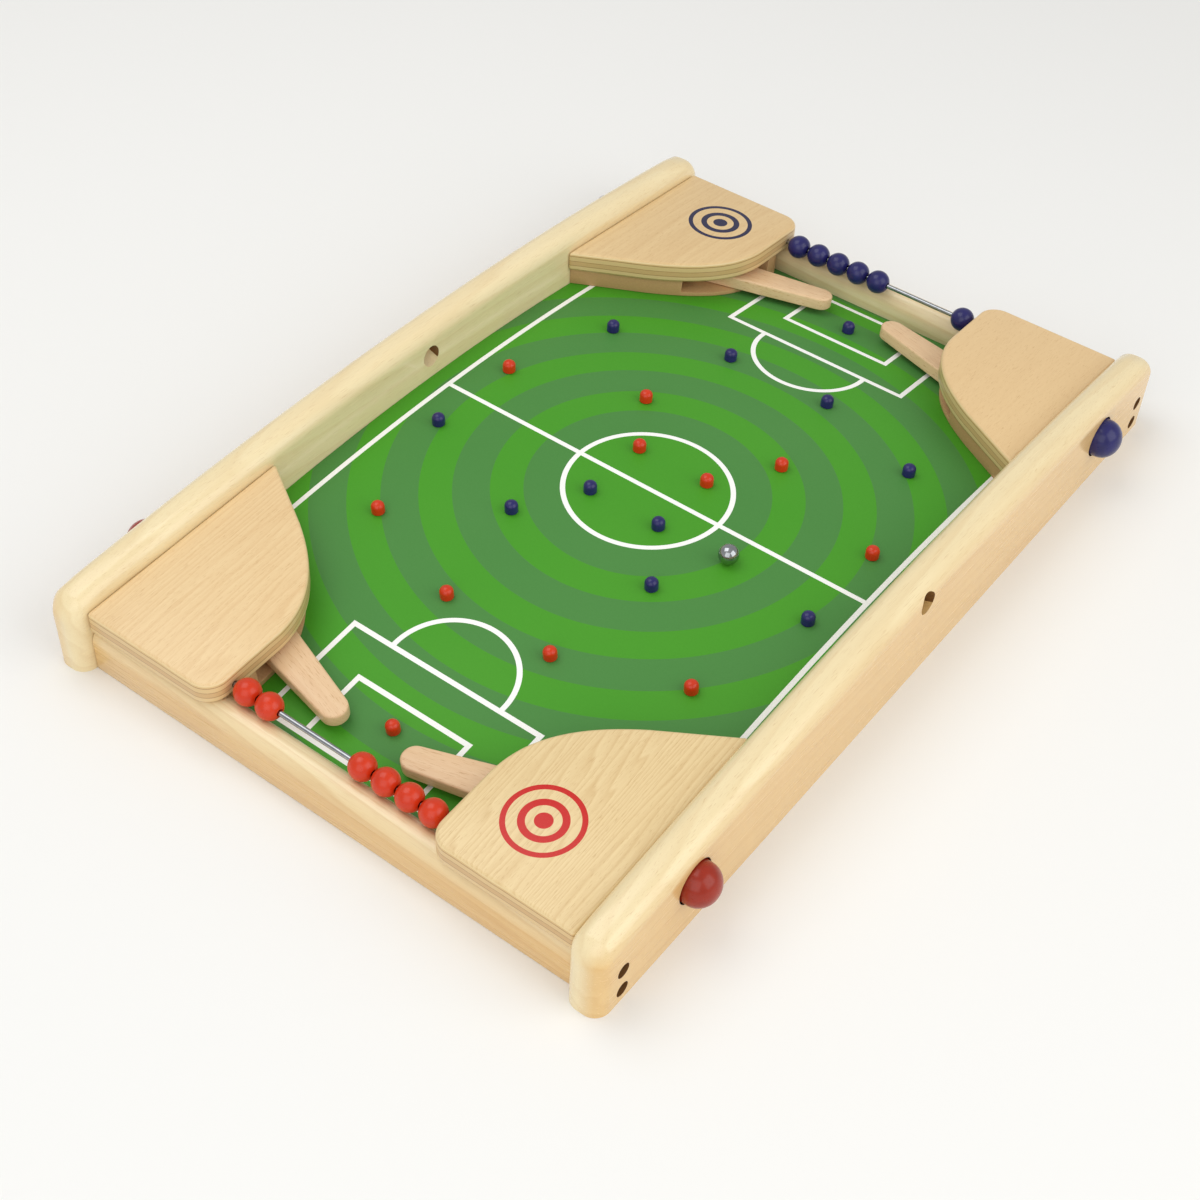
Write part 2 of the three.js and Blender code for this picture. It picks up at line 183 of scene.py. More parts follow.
# Places and sizes in metres, power in watts
LIGHTS = {
    "key": {"location": (-0.7, -0.2, 1.6), "size": 1.2, "power": 8},
    "front": {"location": (0.5, -1.7, 1.2), "size": 1.8, "power": 11},
    "right": {"location": (1.7, 0.2, 1.2), "size": 1.8, "power": 15},
}
WORLD_COLOUR = (1.0, 0.99, 0.97, 1)
WORLD_STRENGTH = 0.56
# The camera's place in metres, its turns in degrees, its lens and sensor in millimetres
CAMERA_PLACE = (0.455, -0.6891, 0.7605)
CAMERA_AZIMUTH = 35.03
CAMERA_ELEVATION = 44.88
CAMERA_ROLL = 3.06
CAMERA_LENS = 56.84
CAMERA_SENSOR = 36


# ------------------------------------------------------------------ mesh helpers
def new_object(name, points, faces, signs=(1, 1)):
    """An object from points in millimetres, mirrored in x and y by signs."""
    if signs[0] * signs[1] < 0:
        faces = [tuple(reversed(face)) for face in faces]
    metres = [(x * signs[0] * MM, y * signs[1] * MM, z * MM) for x, y, z in points]
    mesh = bpy.data.meshes.new(name)
    mesh.from_pydata(metres, [], faces)
    mesh.validate()
    obj = bpy.data.objects.new(name, mesh)
    bpy.context.scene.collection.objects.link(obj)
    return obj


def bake_modifiers(obj):
    """Makes the modified shape the object's own mesh."""
    bpy.context.view_layer.update()
    graph = bpy.context.evaluated_depsgraph_get()
    mesh = bpy.data.meshes.new_from_object(obj.evaluated_get(graph))
    obj.modifiers.clear()
    obj.data = mesh
    return obj


def combine(obj, tools, operation):
    """Cuts the tools from the object, or joins them to it, and removes the tools."""
    for tool in tools:
        modifier = obj.modifiers.new("combine", "BOOLEAN")
        modifier.operation = operation
        modifier.solver = "EXACT"
        modifier.object = tool
    bake_modifiers(obj)
    for tool in tools:
        bpy.data.objects.remove(tool)
    return obj


def soften(obj, width, segments=3, angle=35):
    """Rounds the edges sharper than angle, in degrees, and shades the surface smooth."""
    modifier = obj.modifiers.new("soften", "BEVEL")
    modifier.width = width * MM
    modifier.segments = segments
    modifier.limit_method = "ANGLE"
    modifier.angle_limit = math.radians(angle)
    modifier.use_clamp_overlap = True
    bake_modifiers(obj)
    return smooth(obj, angle)


def smooth(obj, angle=35):
    """Shades the surface smooth, apart from edges sharper than angle, in degrees."""
    obj.data.shade_smooth()
    obj.data.set_sharp_from_angle(angle=math.radians(angle))
    return obj


def loft(name, rings, signs=(1, 1)):
    """A closed skin over rings that all have the same number of points."""
    size = len(rings[0])
    faces = []
    for r in range(len(rings) - 1):
        for i in range(size):
            a = r * size + i
            b = r * size + (i + 1) % size
            faces.append((a, b, b + size, a + size))
    last = (len(rings) - 1) * size
    faces.append(tuple(reversed(range(size))))
    faces.append(tuple(range(last, last + size)))
    points = [point for ring in rings for point in ring]
    obj = new_object(name, points, faces, signs)
    outward(obj)
    return obj


def outward(obj):
    """Turns all the faces of a closed mesh outwards."""
    mesh = bmesh.new()
    mesh.from_mesh(obj.data)
    bmesh.ops.recalc_face_normals(mesh, faces=mesh.faces)
    mesh.to_mesh(obj.data)
    mesh.free()


def lathe(name, profile, segments=48):
    """A solid turned about x. The profile is (radius, x) from axis to axis, or a closed loop."""
    on_axis = profile[0][0] == 0
    middle = profile[1:-1] if on_axis else profile
    points = []
    for radius, x in middle:
        for i in range(segments):
            angle = 2 * math.pi * i / segments
            points.append((x, radius * math.cos(angle), radius * math.sin(angle)))
    rows = len(middle)
    faces = []
    for r in range(rows - 1 if on_axis else rows):
        for i in range(segments):
            j = (i + 1) % segments
            a, b = r * segments, (r + 1) % rows * segments
            faces.append((a + i, a + j, b + j, b + i))
    if on_axis:
        first, last = len(points), len(points) + 1
        points += [(profile[0][1], 0, 0), (profile[-1][1], 0, 0)]
        for i in range(segments):
            j = (i + 1) % segments
            faces.append((first, j, i))
            faces.append((last, (rows - 1) * segments + i, (rows - 1) * segments + j))
    obj = new_object(name, points, faces)
    outward(obj)
    return obj


def placed(obj, matrix):
    """Moves the mesh itself, so that the object stays at the origin. The matrix is in mm."""
    scaled = matrix.copy()
    scaled.translation = matrix.translation * MM
    obj.data.transform(scaled)
    return obj


def bar(radius, start, end, segments=40):
    """A round bar between two points, used to cut and to join."""
    start, end = Vector(start), Vector(end)
    length = (end - start).length
    obj = lathe("bar", [(0, 0), (radius, 0), (radius, length), (0, length)], segments)
    turn = Vector((1, 0, 0)).rotation_difference(end - start).to_matrix().to_4x4()
    return placed(obj, Matrix.Translation(start) @ turn)


def arc(centre, radius, start, end, steps):
    """Points on a circle, angles in degrees."""
    angles = [math.radians(start + (end - start) * i / steps) for i in range(steps + 1)]
    return [(centre[0] + radius * math.cos(a), centre[1] + radius * math.sin(a)) for a in angles]


def bezier(points, steps):
    """Points on a Bezier curve, without the first."""
    found = []
    for i in range(1, steps + 1):
        level = [Vector(p) for p in points]
        while len(level) > 1:
            level = [a.lerp(b, i / steps) for a, b in zip(level, level[1:])]
        found.append(tuple(level[0]))
    return found


def prism(name, outline, bottom, top, signs=(1, 1)):
    """An upright prism between two surfaces given as functions of (x, y)."""
    rings = [[(x, y, surface(x, y)) for x, y in outline] for surface in (bottom, top)]
    return loft(name, rings, signs)


def finish_piece(obj, material, body, *nodes, slot):
    """Gives the piece its material, its body and the CAD nodes that it stands for."""
    obj.data.materials.clear()
    obj.data.materials.append(material)
    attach(obj, body)
    if nodes:
        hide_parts(*nodes)


# ------------------------------------------------------------------ node helpers
def srgb(code):
    """Linear colour with alpha from a web colour code."""
    values = [int(code[i:i + 2], 16) / 255 for i in (1, 3, 5)]
    linear = [v / 12.92 if v <= 0.04045 else ((v + 0.055) / 1.055) ** 2.4 for v in values]
    return (*linear, 1)


class Shader:
    """A material with short ways to add nodes. Positions are in millimetres."""

    def __init__(self, name, roughness, **constants):
        self.material = bpy.data.materials.new(name)
        self.material.use_nodes = True
        self.tree = self.material.node_tree
        self.surface = self.tree.nodes["Principled BSDF"]
        self.surface.inputs["Roughness"].default_value = roughness
        for socket, value in constants.items():
            self.surface.inputs[socket.replace("_", " ")].default_value = value
        coordinates = self.tree.nodes.new("ShaderNodeTexCoord").outputs["Object"]
        self.position = self.scaled(coordinates, (1 / MM, 1 / MM, 1 / MM))
        split = self.add("ShaderNodeSeparateXYZ", {"Vector": self.position})
        self.x, self.y, self.z = split.outputs

    def add(self, kind, inputs, **settings):
        node = self.tree.nodes.new(kind)
        for key, value in settings.items():
            setattr(node, key, value)
        for key, value in inputs.items():
            self.feed(node.inputs[key], value)
        return node

    def feed(self, socket, value):
        """Links an output to the socket, or sets the socket's own value."""
        if isinstance(value, bpy.types.NodeSocket):
            self.tree.links.new(value, socket)
        else:
            socket.default_value = value

    def math(self, operation, first, second=0.0, third=0.0):
        inputs = {0: first, 1: second, 2: third}
        return self.add("ShaderNodeMath", inputs, operation=operation).outputs[0]

    def scaled(self, vector, scale):
        """The vector, scaled along x, y and z."""
        inputs = {0: vector, 1: scale}
        return self.add("ShaderNodeVectorMath", inputs, operation="MULTIPLY").outputs[0]

    def stretched(self, scale, turn=0.0):
        """The position turned about z by degrees and scaled along x, y and z."""
        turned = self.add("ShaderNodeMapping", {
            "Vector": self.position,
            "Rotation": (0, 0, math.radians(turn)),
        }).outputs[0]
        return self.scaled(turned, scale)

    def noise(self, vector, scale=1.0, detail=2.0, roughness=0.5, distortion=0.0):
        node = self.add("ShaderNodeTexNoise", {
            "Vector": vector,
            "Scale": scale,
            "Detail": detail,
            "Roughness": roughness,
            "Distortion": distortion,
        })
        return node.outputs["Fac"]

    def ramp(self, factor, stops, interpolation="LINEAR"):
        """Maps a factor through (place, colour or value) stops."""
        node = self.add("ShaderNodeValToRGB", {"Fac": factor})
        node.color_ramp.interpolation = interpolation
        elements = node.color_ramp.elements
        while len(elements) < len(stops):
            elements.new(1.0)
        for element, (place, value) in zip(elements, stops):
            element.position = place
            element.color = value if isinstance(value, tuple) else (value, value, value, 1)
        return node.outputs["Color"]

    def mix(self, factor, first, second, blend="MIX"):
        node = self.tree.nodes.new("ShaderNodeMix")
        node.data_type = "RGBA"
        node.blend_type = blend
        self.feed(node.inputs["Factor"], factor)
        self.feed(node.inputs[6], first)
        self.feed(node.inputs[7], second)
        return node.outputs[2]

    def colour(self, value):
        self.feed(self.surface.inputs["Base Color"], value)

    def gloss(self, value):
        self.feed(self.surface.inputs["Roughness"], value)

    def bump(self, height, distance, strength=1.0):
        node = self.add("ShaderNodeBump", {
            "Height": height,
            "Distance": distance * MM,
            "Strength": strength,
        })
        self.feed(self.surface.inputs["Normal"], node.outputs[0])


# ------------------------------------------------------------------ materials
# How far the pattern of a wood is drawn out: a small number is along the grain
ALONG_X = (0.05, 1, 1)
ALONG_Y = (1, 0.05, 1)
VENEER = (1, 0.022, 1)
FLIPPER_GRAIN_TURN = 15
PORE_TINT = "#C9A678"
# The tan of the painted shade down the rails' outer faces
OUTSIDE_SHADE_TINT = "#F3DDBC"
# The dark brown of the painted shade on the bores' raw wood
BORE_SHADE = "#7A5531"


def wood(name, pale, deep, along=ALONG_Y, turn=0.0, figure=0.35, pores=0.3, streaking=0.6,
         spacing=7.0, wander=80, roughness=0.34, coat=0.22):
    """Lacquered solid wood: growth rings drawn out along the grain, pores and cloudy tone."""
    shader = Shader(name, roughness, Specular_IOR_Level=0.35, Coat_Weight=coat,
                    Coat_Roughness=0.12)
    across = shader.stretched(along, turn)
    warp = shader.noise(across, scale=0.02, detail=3.0, roughness=0.55)
    straight = shader.add("ShaderNodeVectorMath", {0: across, 1: (1, 1, 1)},
                          operation="DOT_PRODUCT").outputs["Value"]
    wandering = shader.math("MULTIPLY", warp, wander / spacing)
    growth = shader.math("FRACT", shader.math("MULTIPLY_ADD", straight, 1 / spacing, wandering))
    rings = shader.ramp(growth, [(0.0, 0.0), (0.6, 0.45), (0.85, 1.0), (1.0, 0.0)])
    streaks = shader.noise(across, scale=0.55, detail=5.0, roughness=0.65)
    clouds = shader.noise(shader.position, scale=0.012, detail=2.0)
    tone = shader.math("MULTIPLY_ADD", rings, figure, shader.math("MULTIPLY", streaks, streaking))
    tone = shader.math("MULTIPLY_ADD", clouds, 0.3, tone)
    tone = shader.math("SUBTRACT", tone, streaking * 0.25 + 0.12)
    base = shader.mix(tone, srgb(pale), srgb(deep))
    fine = tuple(v * 3 if v > 0.5 else v * 1.6 for v in along)
    flecks = shader.noise(shader.stretched(fine, turn), scale=1.1, detail=1.0)
    pore = shader.ramp(flecks, [(0.0, 0.0), (0.62, 0.0), (0.72, 1.0), (1.0, 1.0)])
    dark = shader.mix(1.0, base, srgb(PORE_TINT), "MULTIPLY")
    shader.colour(shader.mix(shader.math("MULTIPLY", pore, pores), base, dark))
    shader.gloss(shader.math("MULTIPLY_ADD", streaks, 0.12, roughness - 0.06))
    shader.bump(shader.math("SUBTRACT", streaks, shader.math("MULTIPLY", pore, 0.5)), 0.02, 0.2)
    return shader


def hole(shader, out, y, z, radius, depth):
    """1 on the walls of a bore of this depth in the rail's outer face, and 0 elsewhere: where the
    bores' painted shade goes.
    """
    dy = shader.math("SUBTRACT", shader.math("ABSOLUTE", shader.y), y)
    dz = shader.math("SUBTRACT", shader.z, z)
    squares = shader.math("ADD", shader.math("MULTIPLY", dy, dy), shader.math("MULTIPLY", dz, dz))
    within = shader.math("LESS_THAN", squares, (radius + 0.1) ** 2)
    deep = shader.math("GREATER_THAN", out, RAIL_THICKNESS - depth - 0.2)
    return shader.math("MULTIPLY", within, deep)


def painted_shade_outside(shader, distance_out, thickness, height_of_top):
    """Painted shade: deepens a rail's colour to tan down its outer face, below the lighter top."""
    base = shader.surface.inputs["Base Color"].links[0].from_socket
    # Painted shade: tan on the outer face, deeper further below the top, where less light falls
    outside = shader.ramp(shader.math("DIVIDE", distance_out, thickness), [(0.4, 0.0), (0.8, 1.0)])
    depth = shader.math("SUBTRACT", height_of_top, shader.z)
    down = shader.ramp(shader.math("DIVIDE", depth, 12.0), [(0.1, 0.0), (0.9, 1.0)])
    tan = shader.mix(1.0, base, srgb(OUTSIDE_SHADE_TINT), "MULTIPLY")
    shader.colour(shader.mix(shader.math("MULTIPLY", down, outside), base, tan))


def rail_wood():
    """Pale wood, with tan painted shade down the outer faces and dark painted shade on the raw wood
    inside the bores.
    """
    shader = wood("rail_wood", "#F5E4B8", "#DDBD86", figure=0.22, spacing=12, pores=0.3,
                  streaking=0.32, roughness=0.26, coat=0.5)
    out = shader.math("SUBTRACT", shader.math("ABSOLUTE", shader.x), INNER_FACE)
    along_squared = shader.math("MULTIPLY", shader.y, shader.y)
    arch = shader.math("MULTIPLY_ADD", along_squared, -RAIL_SAG, RAIL_HEIGHT)
    painted_shade_outside(shader, out, RAIL_THICKNESS, arch)
    slope = (BALL_HOLE_OUTER_Z - BALL_HOLE_INNER_Z) / RAIL_THICKNESS
    ball_hole_z = shader.math("MULTIPLY_ADD", out, slope, BALL_HOLE_INNER_Z)
    bores = hole(shader, out, 0, ball_hole_z, BALL_HOLE_RADIUS, RAIL_THICKNESS)
    button_bore = hole(shader, out, BUTTON_Y, BUTTON_Z, BORE_RADIUS, BORE_DEPTH)
    bores = shader.math("MAXIMUM", bores, button_bore)
    for height in SCREW_HEIGHTS:
        screw_bore = hole(shader, out, SCREW_Y, height, SCREW_BORE_RADIUS, SCREW_BORE_DEPTH)
        bores = shader.math("MAXIMUM", bores, screw_bore)
    # Painted shade: the bores' walls turn dark brown, as if in shadow
    base = shader.surface.inputs["Base Color"].links[0].from_socket
    shader.colour(shader.mix(bores, base, srgb(BORE_SHADE)))
    return shader.material


def end_wood():
    """Cream along the rounded top, and streaky with tan painted shade down the outer face."""
    shader = wood("end_rail_wood", "#F7E6BC", "#D6B27A", along=ALONG_X, figure=0.3, pores=0.2,
                  streaking=0.5, roughness=0.28, coat=0.5)
    out = shader.math("SUBTRACT", shader.math("ABSOLUTE", shader.y), END_RAIL_INNER)
    painted_shade_outside(shader, out, END_RAIL_OUTER - END_RAIL_INNER, END_RAIL_HEIGHT)
    return shader.material


# Where each ply starts, as a share of the plate's thickness from the top, and its colour
PLY_LAYERS = [(0.0, "#EBD3A0"), (0.10, "#D9B981"), (0.16, "#A97B4C"), (0.20, "#DDBE88"),
              (0.42, "#A8794B"), (0.45, "#CFA974"), (0.66, "#9F7145"), (0.69, "#E0C28D"),
              (0.88, "#AD8052"), (0.91, "#D8B881")]
# Where ink starts (1) and stops (0), as a share of the emblem's radius
EMBLEM_RINGS = [(0.0, 1.0), (0.22, 0.0), (0.42, 1.0), (0.60, 0.0), (0.86, 1.0), (1.0, 0.0)]


def plywood(name, pale, deep, figure, spacing, emblem=None, ink=None):
    """Veneered plywood: grain on top, glued plies on the edge, and an optional printed emblem."""
    shader = wood(name, pale, deep, along=VENEER, figure=figure, spacing=spacing, pores=0.35,
                  roughness=0.33)
    veneer = shader.surface.inputs["Base Color"].links[0].from_socket
    height = shader.math("MULTIPLY_ADD", shader.math("ABSOLUTE", shader.y), -PLATE_SLOPE,
                         PLATE_TOP_AT_CENTRE)
    depth = shader.math("SUBTRACT", height, shader.z)
    waver = shader.noise(shader.position, scale=0.05, detail=2.0)
    wavy = shader.math("MULTIPLY_ADD", shader.math("SUBTRACT", waver, 0.5), 0.9, depth)
    through = shader.math("DIVIDE", wavy, PLATE_THICKNESS)
    plies = shader.ramp(through, [(place, srgb(code)) for place, code in PLY_LAYERS], "CONSTANT")
    fibres = shader.noise(shader.stretched((0.35, 0.35, 3.0)), scale=0.9, detail=3.0)
    plies = shader.mix(shader.math("MULTIPLY", fibres, 0.3), plies, srgb("#E9CF9F"))
    edge = shader.ramp(shader.math("DIVIDE", depth, 2.0), [(0.0, 0.0), (0.35, 0.0), (0.6, 1.0)])
    base = shader.mix(edge, veneer, plies)
    if emblem:
        dx = shader.math("SUBTRACT", shader.x, emblem[0])
        dy = shader.math("SUBTRACT", shader.y, emblem[1])
        squares = shader.math("ADD", shader.math("MULTIPLY", dx, dx),
                              shader.math("MULTIPLY", dy, dy))
        from_centre = shader.math("DIVIDE", shader.math("SQRT", squares), EMBLEM_RADIUS)
        rings = shader.ramp(from_centre, EMBLEM_RINGS, "CONSTANT")
        worn = shader.noise(shader.position, scale=1.4, detail=3.0)
        coverage = shader.math("MULTIPLY", rings, shader.ramp(worn, [(0.0, 0.85), (0.4, 1.0)]))
        on_top = shader.math("LESS_THAN", depth, 0.3)
        base = shader.mix(shader.math("MULTIPLY", coverage, on_top), base, srgb(ink))
    shader.colour(base)
    return shader.material


def pitch_print():
    """The printed pitch: green rings about the centre spot under white markings."""
    shader = Shader("pitch_print", 0.5, Specular_IOR_Level=0.22)
    half = LINE_WIDTH / 2
    x = shader.math("ABSOLUTE", shader.math("SUBTRACT", shader.x, PRINT_CENTRE[0]))
    y = shader.math("ABSOLUTE", shader.math("SUBTRACT", shader.y, PRINT_CENTRE[1]))

    def distance(centre_y):
        dy = shader.math("SUBTRACT", y, centre_y)
        return shader.math("SQRT", shader.math("ADD", shader.math("MULTIPLY", x, x),
                                               shader.math("MULTIPLY", dy, dy)))

    def near(value, target):
        return shader.math("COMPARE", value, target, half)

    def below(value, limit):
        return shader.math("LESS_THAN", value, limit)

    def both(first, second):
        return shader.math("MULTIPLY", first, second)

    radius = distance(0)
    from_middle = shader.math("ABSOLUTE", shader.x)
    inside_touch = below(from_middle, TOUCHLINE + half)
    inside_goal = below(y, GOAL_LINE + half)
    lines = [
        both(near(from_middle, TOUCHLINE), inside_goal),
        both(near(y, GOAL_LINE), inside_touch),
        both(below(y, half), inside_touch),
        near(radius, CIRCLE_RADIUS),
        both(near(distance(ARC_CENTRE), ARC_RADIUS), below(y, PENALTY_FRONT)),
    ]
    areas = [(PENALTY_HALF_WIDTH, PENALTY_FRONT), (GOAL_AREA_HALF_WIDTH, GOAL_AREA_FRONT)]
    for half_width, front in areas:
        lines.append(both(near(y, front), below(x, half_width + half)))
        beyond = shader.math("GREATER_THAN", y, front - half)
        lines.append(both(both(near(x, half_width), beyond), inside_goal))
    white = lines[0]
    for line in lines[1:]:
        white = shader.math("MAXIMUM", white, line)

    past_start = shader.math("SUBTRACT", radius, RING_START)
    phase = shader.math("FRACT", shader.math("DIVIDE", past_start, RING_PITCH))
    light = shader.math("MAXIMUM", below(phase, RING_LIGHT / RING_PITCH),
                        below(radius, CIRCLE_RADIUS))
    speckle = shader.noise(shader.position, scale=0.9, detail=4.0)
    cloud = shader.noise(shader.position, scale=0.01, detail=2.0)
    pale = shader.mix(cloud, srgb("#459C22"), srgb("#4FA02A"))
    dark = shader.mix(cloud, srgb("#4A8A40"), srgb("#528E48"))
    green = shader.mix(light, dark, pale)
    green = shader.mix(shader.math("MULTIPLY", speckle, 0.16), green, srgb("#2F6A1C"))
    shader.colour(shader.mix(white, green, srgb("#FDFDFA")))
    shader.gloss(shader.math("MULTIPLY_ADD", speckle, 0.15, 0.42))
    orange_peel = shader.noise(shader.position, scale=0.45, detail=2.0)
    shader.bump(orange_peel, 0.04, 0.25)
    return shader.material


def paint(name, code, deep):
    """Glossy paint on turned wood, with the grain just showing."""
    shader = Shader(name, 0.3, Specular_IOR_Level=0.3, Coat_Weight=0.25, Coat_Roughness=0.1)
    cloud = shader.noise(shader.position, scale=0.16, detail=3.0)
    grain = shader.noise(shader.stretched((0.3, 1.6, 1.6)), scale=0.9, detail=3.0)
    base = shader.mix(cloud, srgb(code), srgb(deep))
    shader.colour(shader.mix(shader.math("MULTIPLY", grain, 0.25), base, srgb(deep)))
    shader.gloss(shader.math("MULTIPLY_ADD", grain, 0.16, 0.22))
    shader.bump(grain, 0.05, 0.3)
    return shader.material


def fibreboard():
    """Sealed brown board, with coarse pressed fibres."""
    shader = Shader("fibreboard", 0.6)
    fibres = shader.noise(shader.stretched((1.0, 1.0, 2.2)), scale=0.9, detail=6.0, roughness=0.7)
    cloud = shader.noise(shader.position, scale=0.03)
    base = shader.mix(fibres, srgb("#A67A4C"), srgb("#D8B483"))
    shader.colour(shader.mix(shader.math("MULTIPLY", cloud, 0.4), base, srgb("#C09465")))
    shader.gloss(shader.math("MULTIPLY_ADD", fibres, 0.2, 0.48))
    shader.bump(fibres, 0.08, 0.4)
    return shader.material


def steel(name, bright, dull, roughness):
    """Bare metal with smears and fine scratches."""
    shader = Shader(name, roughness, Metallic=1.0)
    smear = shader.noise(shader.position, scale=0.25, detail=4.0)
    scratches = shader.noise(shader.stretched((0.2, 2.0, 2.0)), scale=2.0, detail=2.0)
    shader.colour(shader.mix(smear, srgb(bright), srgb(dull)))
    shader.gloss(shader.math("MULTIPLY_ADD", scratches, 0.10, roughness - 0.03))
    shader.bump(scratches, 0.01, 0.15)
    return shader.material


RAIL_WOOD = rail_wood()
END_WOOD = end_wood()
BEECH = {turn: wood(f"flipper_wood_{'in' if turn > 0 else 'out'}", "#EBCBA2", "#D9AE80",
                    along=ALONG_X, turn=turn, figure=0.2, pores=0.7, roughness=0.42).material
         for turn in (FLIPPER_GRAIN_TURN, -FLIPPER_GRAIN_TURN)}
RED_INK = "#C8120A"
BLUE_INK = "#161442"
PLATES = {
    ("red", "right"): plywood("plywood_red_right", "#EFD8A6", "#CFAA72", 0.36, 3.2,
                              (EMBLEM[0], -EMBLEM[1]), RED_INK),
    ("red", "left"): plywood("plywood_red_left", "#EFD3A2", "#D6AB74", 0.25, 5),
    ("blue", "left"): plywood("plywood_blue_left", "#E8CB98", "#D0A974", 0.2, 10,
                              (-EMBLEM[0], EMBLEM[1]), BLUE_INK),
    ("blue", "right"): plywood("plywood_blue_right", "#EBCB98", "#DCB783", 0.1, 12),
}
BOARD = fibreboard()
PITCH = pitch_print()
PAINTS = {
    "red": paint("red_paint", "#DE3C12", "#C42E0E"),
    "blue": paint("blue_paint", "#2C2B72", "#1A184E"),
}
# The buttons get a darker copy of the red paint of the beads and pegs
BUTTON_PAINTS = {
    "red": paint("red_button_paint", "#A92D12", "#88210D"),
    "blue": PAINTS["blue"],
}
POLISHED = steel("polished_steel", "#BDC0C4", "#86898D", 0.1)
ZINC = steel("dark_zinc", "#77787A", "#57585A", 0.35)


# ------------------------------------------------------------------ shapes shared by the parts
def pitch_height(y):
    """The height of the arched pitch."""
    return PITCH_APEX - PITCH_SAG * y * y


def plate_top(x, y):
    return PLATE_TOP_AT_CENTRE - PLATE_SLOPE * y


def plate_bottom(x, y):
    return plate_top(x, y) - PLATE_THICKNESS


def on_pivot(obj, signs=(1, 1)):
    """From a frame with z along the flipper's pivot, and z = 0 under its blade, to the corner."""
    tilt = Matrix.Rotation(-math.atan(FLIPPER_SLOPE), 4, "X")
    placed(obj, Matrix.Translation(PIVOT) @ tilt)
    return mirror(obj, signs)


def mirror(obj, signs):
    """Mirrors the mesh in x and y by signs, with its faces still outwards."""
    obj.data.transform(Matrix.Diagonal((signs[0], signs[1], 1, 1)))
    if signs[0] * signs[1] < 0:
        obj.data.flip_normals()
    return obj


# ------------------------------------------------------------------ side rails
def rail_top(y):
    """The height of a side rail: an arch that ends in a round nose."""
    arch = RAIL_HEIGHT - RAIL_SAG * y * y
    into_nose = abs(y) - (HALF_LENGTH - RAIL_NOSE_RADIUS)
    if into_nose <= 0:
        return arch
    return arch - RAIL_NOSE_RADIUS + math.sqrt(RAIL_NOSE_RADIUS ** 2 - into_nose ** 2)


def rail_stations():
    """(y, half thickness) along the rail."""
    rounding = arc((HALF_LENGTH - RAIL_END_RADIUS, RAIL_THICKNESS / 2 - RAIL_END_RADIUS),
                   RAIL_END_RADIUS, 0, 90, 12)
    reach = HALF_LENGTH - RAIL_END_RADIUS
    middle = [(reach * (1 - i / 24), RAIL_THICKNESS / 2) for i in range(1, 48)]
    return rounding + middle + [(-y, half) for y, half in reversed(rounding)]


def side_rail(side):
    sign = SIDES[side]
    rings = []
    for y, half in rail_stations():
        top = rail_top(y)
        radius = min(RAIL_EDGE_RADIUS, half * 0.98)     # the two roundings never meet
        section = [(-half, 0), (half, 0)]
        section += arc((half - radius, top - radius), radius, 0, 90, 10)
        section += arc((radius - half, top - radius), radius, 90, 180, 10)
        middle = HALF_WIDTH - RAIL_THICKNESS / 2
        rings.append([(middle + x, y, z) for x, z in section])
    rail = loft(f"side_rail_{side}", rings, (sign, 1))
    slope = (BALL_HOLE_OUTER_Z - BALL_HOLE_INNER_Z) / RAIL_THICKNESS
    beyond = 6
    cutters = [bar(BALL_HOLE_RADIUS,
                   (sign * (INNER_FACE - beyond), 0, BALL_HOLE_INNER_Z - slope * beyond),
                   (sign * (HALF_WIDTH + beyond), 0, BALL_HOLE_OUTER_Z + slope * beyond))]
    for end in (-1, 1):
        y = end * BUTTON_Y
        bore_floor = HALF_WIDTH - BORE_DEPTH
        cutters.append(bar(BORE_RADIUS, (sign * bore_floor, y, BUTTON_Z),
                           (sign * (HALF_WIDTH + beyond), y, BUTTON_Z), 64))
        cutters.append(bar(STEM_HOLE_RADIUS, (sign * (INNER_FACE - beyond), y, BUTTON_Z),
                           (sign * (bore_floor + 1), y, BUTTON_Z)))
        for z in SCREW_HEIGHTS:
            cutters.append(bar(SCREW_BORE_RADIUS,
                               (sign * (HALF_WIDTH - SCREW_BORE_DEPTH), end * SCREW_Y, z),
                               (sign * (HALF_WIDTH + beyond), end * SCREW_Y, z)))
    combine(rail, cutters, "DIFFERENCE")
    soften(rail, RAIL_ARRIS, segments=2)
    finish_piece(rail, RAIL_WOOD, "frame", f"side_rail_{side}", slot="rail_wood")


# ------------------------------------------------------------------ end rails and pitch
def end_rail(team):
    reach = INNER_FACE - CLEARANCE
    radius = (END_RAIL_OUTER - END_RAIL_INNER) / 2
    outline = [(END_RAIL_INNER, 0), (END_RAIL_OUTER, 0)]
    outline += arc((END_RAIL_INNER + radius, END_RAIL_HEIGHT - radius), radius, 0, 180, 28)
    rings = [[(x, y, z) for y, z in outline] for x in (-reach, reach)]
    rail = loft(f"end_rail_{team}", rings, (1, TEAMS[team]))
    soften(rail, END_RAIL_ARRIS)
    finish_piece(rail, END_WOOD, "frame", f"end_rail_{team}", slot="rail_wood")


def pitch_panel():
    reach = INNER_FACE - CLEARANCE
    half_length = END_RAIL_INNER - CLEARANCE
    steps = 80
    rings = []
    for i in range(steps + 1):
        y = half_length * (2 * i / steps - 1)
        top = pitch_height(y)
        low = top - PITCH_THICKNESS
        rings.append([(-reach, y, low), (reach, y, low), (reach, y, top), (-reach, y, top)])
    panel = loft("pitch_panel", rings)
    smooth(panel)
    finish_piece(panel, PITCH, "frame", "pitch_panel", slot="pitch_print")


